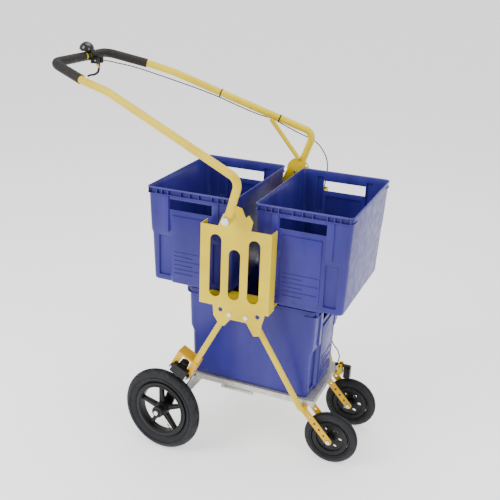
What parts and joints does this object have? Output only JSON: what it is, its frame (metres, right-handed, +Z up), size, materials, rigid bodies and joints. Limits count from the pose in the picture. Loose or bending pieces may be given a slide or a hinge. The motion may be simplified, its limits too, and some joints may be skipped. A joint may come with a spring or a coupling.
{
  "type": "garden cart",
  "caption": "Garden cart with a tilting bent-tube handle that carries stack-and-nest crates on side plates and a low tray, on big rear and small front wheels.",
  "frame": {"origin": "on the ground below the middle of the cart's bounding box", "axes": "+X away from the handle, +Y to the left, +Z up"},
  "size_m": [1.471, 0.9164, 1.6763],
  "materials": {
    "yellow_paint": "powder coat, semi-gloss",
    "orange_paint": "powder coat, semi-gloss",
    "galvanised": "galvanised sheet",
    "zinc_bolt": "bright zinc plate",
    "black_bolt": "black oxide",
    "black_plastic": "moulded, fine grain",
    "foam_grip": "closed-cell foam",
    "tyre_rubber": "treaded rubber",
    "gloss_black": "gloss",
    "cable_black": "extruded sheath",
    "crate_blue": "injection-moulded polypropylene"
  },
  "bodies": {
    "frame": {"side_plate_right": "yellow_paint", "side_plate_left": "yellow_paint", "leg_bracket_right": "yellow_paint", "leg_bracket_left": "yellow_paint", "front_leg_tube": "yellow_paint", "rear_leg_right": "yellow_paint", "rear_leg_left": "yellow_paint", "wheel_bracket_right": "orange_paint", "wheel_bracket_left": "orange_paint", "load_tray": "galvanised", "rear_rail": "galvanised", "cradle_rails": "yellow_paint", "tray_foot_bar": "galvanised", "fork_bars_right": "orange_paint", "fork_bars_left": "orange_paint", "plate_bolts": "zinc_bolt", "rail_bolts": "black_bolt", "pivot_bolts": "zinc_bolt", "pivot_bushes": "zinc_bolt", "lock_bracket": "yellow_paint", "caster_head_right": "black_plastic", "caster_head_left": "black_plastic", "caster_head_bolts": "zinc_bolt", "front_axles": "zinc_bolt", "brake_post": "yellow_paint"},
    "lock": {"lock_pin": "zinc_bolt", "lock_knob": "black_plastic"},
    "handle": {"handle_tube": "yellow_paint", "handle_eyes": "yellow_paint", "grip_right": "foam_grip", "grip_left": "foam_grip", "brace_tube": "yellow_paint", "index_disc": "yellow_paint", "lever_clamp": "black_bolt", "lever_pin": "zinc_bolt", "cable_ties": "black_plastic", "bell_base": "black_plastic", "bell_dome": "gloss_black", "brake_cable": "cable_black"},
    "brake_lever": {"brake_lever": "black_bolt"},
    "bell_striker": {"bell_striker": "gloss_black"},
    "caster_right": {"caster_fork_right": "black_plastic", "rear_axle_right": "zinc_bolt"},
    "caster_left": {"caster_fork_left": "black_plastic", "rear_axle_left": "zinc_bolt"},
    "rear_wheel_right": {"rear_rim_right": "black_plastic", "rear_tyre_right": "tyre_rubber"},
    "rear_wheel_left": {"rear_rim_left": "black_plastic", "rear_tyre_left": "tyre_rubber"},
    "front_wheel_right": {"front_rim_right": "black_plastic", "front_tyre_right": "tyre_rubber"},
    "front_wheel_left": {"front_rim_left": "black_plastic", "front_tyre_left": "tyre_rubber"},
    "brake_arm": {"brake_arm": "black_bolt"},
    "rear_crate": {"upper_crate_rear": "crate_blue"},
    "front_crate": {"upper_crate_front": "crate_blue"},
    "bottom_crate": {"lower_crate": "crate_blue"}
  },
  "joints": [
    {"name": "handle_tilt", "type": "hinge", "parent": "frame", "child": "handle", "pos_m": [0.207, 0, 1.122], "axis": [0, 1, 0], "range_deg": [-20, 60], "deforming": ["brake_cable"]},
    {"name": "lock_push", "type": "slide", "parent": "frame", "child": "lock", "axis": [0, 1, 0], "range_m": [0, 0.0045]},
    {"name": "brake_pull", "type": "hinge", "parent": "handle", "child": "brake_lever", "pos_m": [-0.675, 0.086, 1.592], "axis": [0, 1, 0], "range_deg": [0, 20], "stiffness_Nm_per_rad": 2, "springref_deg": -11.46},
    {"name": "brake_press", "type": "hinge", "parent": "frame", "child": "brake_arm", "pos_m": [0.549, 0.157, 0.296], "axis": [0, 1, 0], "range_deg": [0, 6]},
    {"name": "bell_strike", "type": "hinge", "parent": "handle", "child": "bell_striker", "pos_m": [-0.693, 0.045, 1.6365], "axis": [0, 0, 1], "range_deg": [0, 30], "stiffness_Nm_per_rad": 0.05, "springref_deg": -5.73},
    {"name": "steer_right", "type": "hinge", "parent": "frame", "child": "caster_right", "pos_m": [-0.016, -0.356, 0.38709], "axis": [0.46, 0, 0.8879], "range_deg": [-12, 12]},
    {"name": "steer_left", "type": "hinge", "parent": "frame", "child": "caster_left", "pos_m": [-0.016, 0.356, 0.38709], "axis": [0.46, 0, 0.8879], "range_deg": [-12, 12]},
    {"name": "rear_spin_right", "type": "hinge", "parent": "caster_right", "child": "rear_wheel_right", "pos_m": [-0.09552, -0.37005, 0.18387], "axis": [0.0774, 0.9962, -0.0401], "continuous": true},
    {"name": "rear_spin_left", "type": "hinge", "parent": "caster_left", "child": "rear_wheel_left", "pos_m": [-0.09552, 0.37005, 0.18387], "axis": [-0.0774, 0.9962, 0.0401], "continuous": true},
    {"name": "front_spin_right", "type": "hinge", "parent": "frame", "child": "front_wheel_right", "pos_m": [0.61, -0.157, 0.118], "axis": [0, 1, 0], "continuous": true},
    {"name": "front_spin_left", "type": "hinge", "parent": "frame", "child": "front_wheel_left", "pos_m": [0.61, 0.157, 0.118], "axis": [0, 1, 0], "continuous": true},
    {"name": "rear_crate_lift", "type": "slide", "parent": "frame", "child": "rear_crate", "axis": [0, 0, 1], "range_m": [0, 0.45]},
    {"name": "front_crate_lift", "type": "slide", "parent": "frame", "child": "front_crate", "axis": [0, 0, 1], "range_m": [0, 0.45]},
    {"name": "bottom_crate_slide", "type": "slide", "parent": "frame", "child": "bottom_crate", "axis": [-1, 0, 0], "range_m": [0, 0.45]}
  ],
  "couplings": [
    {"joint": "brake_press", "follows": "brake_pull", "ratio": 0.3}
  ]
}
